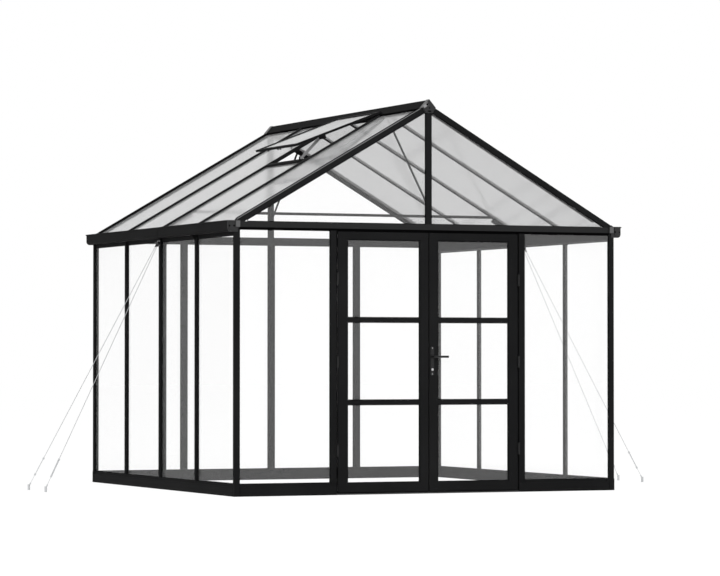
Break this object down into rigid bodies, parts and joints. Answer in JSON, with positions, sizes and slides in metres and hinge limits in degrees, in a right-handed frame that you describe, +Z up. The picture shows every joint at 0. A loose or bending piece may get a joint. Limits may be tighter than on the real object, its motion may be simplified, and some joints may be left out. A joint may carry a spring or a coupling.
{
  "type": "glass greenhouse",
  "caption": "Free-standing glass greenhouse with a black metal frame, clear walls, opal pitched roof, glazed double door, roof vent and stay cables",
  "frame": {"origin": "On the ground in the middle of the base ring", "axes": "+X to the right seen from outside the door, +Y from the door to the back, +Z up"},
  "size_m": [4.918, 3.125, 2.8358],
  "materials": {
    "black_frame": "satin powder coat",
    "clear_glass": "clear float glass",
    "opal_panel": "translucent opal sheet",
    "cap_plastic": "moulded dark grey",
    "black_fitting": "smooth black",
    "bright_steel": "satin steel",
    "galvanised_steel": "galvanised wire and fittings"
  },
  "bodies": {
    "greenhouse": {"base_left": "black_frame", "base_right": "black_frame", "base_back": "black_frame", "base_front": "black_frame", "door_threshold": "black_frame", "corner_posts": "black_frame", "left_wall_bars": "black_frame", "right_wall_bars": "black_frame", "back_wall_studs": "black_frame", "door_jambs": "black_frame", "door_stops": "black_frame", "front_header": "black_frame", "back_header": "black_frame", "king_posts": "black_frame", "eave_rails": "black_frame", "left_gutter": "black_frame", "right_gutter": "black_frame", "gutter_end_caps": "cap_plastic", "gutter_gussets": "black_frame", "left_rafters": "black_frame", "right_rafters": "black_frame", "front_gable_rafters": "black_frame", "back_gable_rafters": "black_frame", "ridge_beam": "black_frame", "ridge_end_caps": "cap_plastic", "portal_knees": "black_frame", "collar_tie": "black_frame", "ridge_braces": "black_frame", "vent_sill": "black_frame", "vent_frame": "black_frame", "vent_pane": "opal_panel", "vent_stay": "bright_steel", "left_wall_glass": "clear_glass", "right_wall_glass": "clear_glass", "front_wall_glass": "clear_glass", "back_wall_glass": "clear_glass", "gable_glass": "clear_glass", "left_roof_panels": "opal_panel", "right_roof_panels": "opal_panel", "jamb_hinges": "black_fitting", "stay_cables": "galvanised_steel", "cable_brackets": "black_fitting", "ground_anchors": "galvanised_steel"},
    "left_door": {"left_door_frame": "black_frame", "left_door_glass": "clear_glass", "left_door_hinges": "black_fitting"},
    "right_door": {"right_door_frame": "black_frame", "right_door_glass": "clear_glass", "right_door_hinges": "black_fitting", "handle_plates": "black_fitting", "lock_cylinder": "bright_steel"},
    "lever": {"door_lever": "black_fitting"}
  },
  "joints": [
    {"name": "left_door_swing", "type": "hinge", "parent": "greenhouse", "child": "left_door", "pos_m": [-0.716, -1.535, 0.95], "axis": [0, 0, -1], "range_deg": [0, 110]},
    {"name": "right_door_swing", "type": "hinge", "parent": "greenhouse", "child": "right_door", "pos_m": [0.716, -1.535, 0.95], "axis": [0, 0, 1], "range_deg": [0, 110]},
    {"name": "lever_turn", "type": "hinge", "parent": "right_door", "child": "lever", "pos_m": [0.024, -1.519, 0.982], "axis": [0, 1, 0], "range_deg": [0, 40], "stiffness_Nm_per_rad": 0.5, "springref_deg": -17.19}
  ]
}
